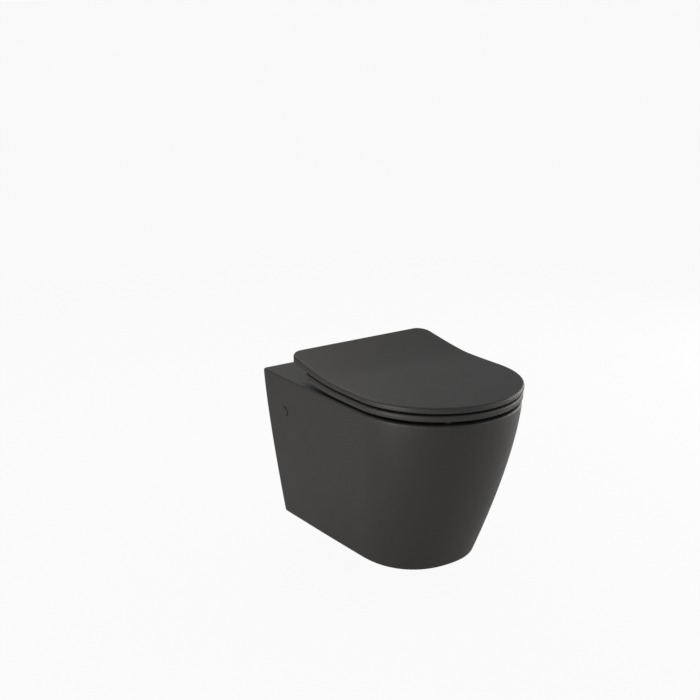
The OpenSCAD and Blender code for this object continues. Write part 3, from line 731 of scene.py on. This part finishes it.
cap_rings = [(0.001, cap_top), (3, cap_top - 0.02), (6, cap_top - 0.08), (8.5, cap_top - 0.18)]
for v in np.radians(range(0, 91, 15)):
    ring_r = cap_r - cap_edge_r + cap_edge_r * math.sin(v)
    cap_rings.append((ring_r, cap_top - 1 + cap_edge_r * math.cos(v)))
cap_rings += [(cap_r, cap_foot + 0.6), (cap_r - 0.3, cap_foot), (5, cap_foot), (0.001, cap_foot)]
for side, name in ((-1, "left"), (1, "right")):
    cap = make_piece("cap_" + name, [(cap_points(side, cap_rings), True)])
    turn_outward(cap)
    sharp_over(cap, 40)
    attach(cap, "pan_unit")
    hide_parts("side_cap_" + name)

# %% [markdown]
# ## Finishes
# Matt black is never one flat grey. The glaze has a silky skin with shallow ripples, faint patches where
# it lies thicker, and small changes of gloss. The seat and lid are moulded, so they are more even and
# have a finer grain. One node group gives all of this: a colour that drifts, a roughness that drifts,
# and a height for the bump. Each material sets its own numbers.

# %% The grain group
def new_group(name, inputs, outputs):
    """An empty shader node group with named sockets: inputs is a list of (name, kind, value)."""
    tree = bpy.data.node_groups.new(name, "ShaderNodeTree")
    for label, kind, value in inputs:
        made = tree.interface.new_socket(name=label, in_out="INPUT", socket_type="NodeSocket" + kind)
        made.default_value = value
    for label, kind in outputs:
        tree.interface.new_socket(name=label, in_out="OUTPUT", socket_type="NodeSocket" + kind)
    return tree, tree.nodes.new("NodeGroupInput"), tree.nodes.new("NodeGroupOutput")


def math_node(tree, operation, a, b):
    """A Math node: each of a and b is a socket or a number."""
    node = tree.nodes.new("ShaderNodeMath")
    node.operation = operation
    for k, v in enumerate((a, b)):
        if isinstance(v, (int, float)):
            node.inputs[k].default_value = v
        else:
            tree.links.new(v, node.inputs[k])
    return node.outputs[0]


def noise(tree, where, size, detail=2.0, roughness=0.5):
    """Noise with features of about the given size in metres: its value, from 0 to 1."""
    node = tree.nodes.new("ShaderNodeTexNoise")
    tree.links.new(where, node.inputs["Vector"])
    node.inputs["Detail"].default_value = detail
    node.inputs["Roughness"].default_value = roughness
    tree.links.new(math_node(tree, "DIVIDE", 1.0, size), node.inputs["Scale"])
    return node.outputs["Fac"]


grain_group, g_in, g_out = new_group("grain", [
    ("Color", "Color", (0.03, 0.03, 0.03, 1)), ("Color Drift", "Float", 0.1), ("Patch Size", "Float", 0.05),
    ("Grain Size", "Float", 0.001), ("Roughness", "Float", 0.5), ("Roughness Drift", "Float", 0.05)],
    [("Color", "Color"), ("Roughness", "Float"), ("Height", "Float")])
place = grain_group.nodes.new("ShaderNodeTexCoord").outputs["Object"]
patches = noise(grain_group, place, g_in.outputs["Patch Size"], 4.0)
fine = noise(grain_group, place, g_in.outputs["Grain Size"], 3.0, 0.6)
drift = math_node(grain_group, "MULTIPLY", math_node(grain_group, "SUBTRACT", patches, 0.5), 2.0)
speck = math_node(grain_group, "SUBTRACT", fine, 0.5)
sway = math_node(grain_group, "ADD", drift, speck)
color_sway = math_node(grain_group, "MULTIPLY", sway, g_in.outputs["Color Drift"])
shade = math_node(grain_group, "ADD", color_sway, 1.0)
tint = grain_group.nodes.new("ShaderNodeVectorMath")
tint.operation = "SCALE"
grain_group.links.new(g_in.outputs["Color"], tint.inputs[0])
grain_group.links.new(shade, tint.inputs["Scale"])
gloss_sway = math_node(grain_group, "MULTIPLY", sway, g_in.outputs["Roughness Drift"])
gloss = math_node(grain_group, "ADD", gloss_sway, g_in.outputs["Roughness"])
height = math_node(grain_group, "ADD", fine, math_node(grain_group, "MULTIPLY", patches, 0.5))
grain_group.links.new(tint.outputs[0], g_out.inputs["Color"])
grain_group.links.new(gloss, g_out.inputs["Roughness"])
grain_group.links.new(height, g_out.inputs["Height"])
print("the grain group has", len(grain_group.nodes), "nodes")


# %% Materials from the grain
def grain_material(name, color, drift, patch, grain, rough, rough_drift, depth, specular=0.5, metallic=0.0):
    """A Principled material whose colour, roughness and bump come from the grain group.

    The sizes of patches and grain and the depth of the bump are in metres.
    """
    material = bpy.data.materials.new(name)
    material.use_nodes = True
    tree = material.node_tree
    shader = next(n for n in tree.nodes if n.type == "BSDF_PRINCIPLED")
    group = tree.nodes.new("ShaderNodeGroup")
    group.node_tree = grain_group
    for label, value in (("Color", (*color, 1)), ("Color Drift", drift), ("Patch Size", patch),
                         ("Grain Size", grain), ("Roughness", rough), ("Roughness Drift", rough_drift)):
        group.inputs[label].default_value = value
    bump = tree.nodes.new("ShaderNodeBump")
    bump.inputs["Strength"].default_value = 1.0
    bump.inputs["Distance"].default_value = depth
    tree.links.new(group.outputs["Color"], shader.inputs["Base Color"])
    tree.links.new(group.outputs["Roughness"], shader.inputs["Roughness"])
    tree.links.new(group.outputs["Height"], bump.inputs["Height"])
    tree.links.new(bump.outputs["Normal"], shader.inputs["Normal"])
    shader.inputs["Specular IOR Level"].default_value = specular
    shader.inputs["Metallic"].default_value = metallic
    return material


glaze = grain_material(
    "matt black glaze", (0.0245, 0.0235, 0.0228), drift=0.10, patch=0.07, grain=0.0035,
    rough=0.49, rough_drift=0.06, depth=0.00006, specular=0.56)
duroplast = grain_material(
    "matt black duroplast", (0.029, 0.028, 0.0272), drift=0.06, patch=0.05, grain=0.0011,
    rough=0.49, rough_drift=0.04, depth=0.00002, specular=0.55)
black_plastic = grain_material(
    "matt black plastic", (0.028, 0.028, 0.028), drift=0.08, patch=0.02, grain=0.0006,
    rough=0.5, rough_drift=0.06, depth=0.00002)
grey_plastic = grain_material(
    "grey plastic", (0.22, 0.225, 0.23), drift=0.06, patch=0.02, grain=0.0005,
    rough=0.48, rough_drift=0.05, depth=0.00002)
nylon = grain_material(
    "grey nylon", (0.085, 0.09, 0.095), drift=0.12, patch=0.012, grain=0.0007,
    rough=0.55, rough_drift=0.08, depth=0.00003)
grey_rubber = grain_material(
    "grey rubber", (0.035, 0.035, 0.035), drift=0.08, patch=0.01, grain=0.0006,
    rough=0.75, rough_drift=0.05, depth=0.00003, specular=0.3)
black_rubber = grain_material(
    "black rubber", (0.02, 0.02, 0.02), drift=0.1, patch=0.01, grain=0.0006,
    rough=0.7, rough_drift=0.06, depth=0.00003, specular=0.35)
steel = grain_material(
    "stainless steel", (0.56, 0.57, 0.58), drift=0.06, patch=0.01, grain=0.0004,
    rough=0.32, rough_drift=0.1, depth=0.000008, specular=0.5, metallic=1.0)

# %% Which piece has which finish
slots = {"black_ceramic": glaze, "black_duroplast": duroplast, "black_plastic": black_plastic,
         "grey_plastic": grey_plastic, "grey_nylon": nylon, "grey_rubber": grey_rubber,
         "black_rubber": black_rubber, "steel": steel}
for piece, finish in ((pan_body, glaze), (lid_shell, duroplast), (seat_shell, duroplast)):
    piece.data.materials.clear()
    piece.data.materials.append(finish)
for name in ("cap_left", "cap_right"):
    bpy.data.objects[name].data.materials.append(black_plastic)
for part in frame["record"]["subparts"]:
    node = bpy.data.objects.get(part["node"])
    if node is None or node.type != "MESH":
        continue
    for holder in node.material_slots:
        holder.material = slots[part["material_slot"]]
print("finishes:", len(slots))

# %% [markdown]
# ## Camera
# The camera stands to the left of the toilet and a little above it. Its place, turn and lens were found
# by fitting the outlines of the lid, the seat and the pan.

# %% Camera
look_down, look_right = 16.25, 35.36
view = bpy.data.cameras.new("camera")
view.lens, view.sensor_width, view.clip_end = 68.8, 36, 50
camera = bpy.data.objects.new("camera", view)
camera.location = (-1.610, -2.346, 0.920)
camera.rotation_euler = (math.radians(90 - look_down), 0, math.radians(-look_right))
bpy.context.scene.collection.objects.link(camera)
bpy.context.scene.camera = camera

# %% [markdown]
# ## Light and floor
# The toilet stands out against white. A pale floor lies under it, and a sky closes the background. Both
# are white where the camera sees them, and give much less to reflections and to the light on the toilet,
# which keeps the matt black dark. Five soft lamps light it: one low on each side, one in front on each
# side, and one behind and above.

# %% Floor and sky
def white_for(tree, seen, share, mirrored):
    """How far a surface turns white: share for the camera and behind glass, mirrored in reflections."""
    direct = math_node(tree, "MAXIMUM", seen.outputs["Is Camera Ray"], seen.outputs["Is Transmission Ray"])
    return math_node(tree, "MAXIMUM", math_node(tree, "MULTIPLY", direct, share),
                     math_node(tree, "MULTIPLY", seen.outputs["Is Glossy Ray"], mirrored))


floor_z, floor_half, floor_white, floor_mirrored = -0.34, 40, 0.93, 0.03
floor_corners = [(floor_half * x, floor_half * y, floor_z) for x, y in ((-1, -1), (1, -1), (1, 1), (-1, 1))]
floor_mesh = bpy.data.meshes.new("floor")
floor_mesh.from_pydata(floor_corners, [], [(0, 1, 2, 3)])
floor = bpy.data.objects.new("floor", floor_mesh)
bpy.context.scene.collection.objects.link(floor)
paint = bpy.data.materials.new("floor paint")
paint.use_nodes = True
tree = paint.node_tree
shader = next(n for n in tree.nodes if n.type == "BSDF_PRINCIPLED")
shader.inputs["Base Color"].default_value = (0.8, 0.8, 0.8, 1)
shader.inputs["Roughness"].default_value = 0.9
glow = tree.nodes.new("ShaderNodeEmission")
glow.inputs["Strength"].default_value = 1.0
seen = tree.nodes.new("ShaderNodeLightPath")
blend = tree.nodes.new("ShaderNodeMixShader")
tree.links.new(white_for(tree, seen, floor_white, floor_mirrored), blend.inputs[0])
tree.links.new(shader.outputs[0], blend.inputs[1])
tree.links.new(glow.outputs[0], blend.inputs[2])
out = next(n for n in tree.nodes if n.type == "OUTPUT_MATERIAL")
tree.links.new(blend.outputs[0], out.inputs["Surface"])
floor_mesh.materials.append(paint)

world = bpy.data.worlds.new("sky")
bpy.context.scene.world = world
world.use_nodes = True
tree = world.node_tree
back = next(n for n in tree.nodes if n.type == "BACKGROUND")
back.inputs["Color"].default_value = (1, 1, 1, 1)
seen = tree.nodes.new("ShaderNodeLightPath")
sky_light, sky_mirrored = 0.29, 0.02
white = white_for(tree, seen, 1 - sky_light, sky_mirrored)
tree.links.new(math_node(tree, "ADD", white, sky_light), back.inputs["Strength"])
print("floor at", floor_z, "m; the sky gives", sky_light, "of white")


# %% Lamps
def soft_lamp(name, place, width, height, watts):
    """A slightly warm area lamp at place that faces the toilet's middle."""
    lamp = bpy.data.lights.new(name, "AREA")
    lamp.shape, lamp.size, lamp.size_y, lamp.energy = "RECTANGLE", width, height, watts
    lamp.color = (1, 0.965, 0.93)
    holder = bpy.data.objects.new(name, lamp)
    holder.location = place
    way = np.array(place) - np.array(lamp_aim)
    holder.rotation_euler = (math.acos(way[2] / np.linalg.norm(way)), 0, math.atan2(way[0], -way[1]))
    bpy.context.scene.collection.objects.link(holder)
    print(name, "gives", watts, "W")


lamp_aim = (0, -0.3, -0.05)
soft_lamp("left low lamp", (-2.6, -0.38, 0.08), 0.5, 0.8, 21.5)
soft_lamp("left front lamp", (-2.2, -1.6, 0.4), 1.0, 1.2, 6.5)
soft_lamp("right front lamp", (1.6, -2.4, 0.5), 0.8, 1.2, 9)
soft_lamp("right low lamp", (2.4, -0.4, 0.36), 2.0, 1.3, 31)
soft_lamp("rear top lamp", (0.0, 1.2, 1.6), 2.0, 1.0, 9)

# %% The view transform
bpy.context.scene.view_settings.view_transform = "Standard"
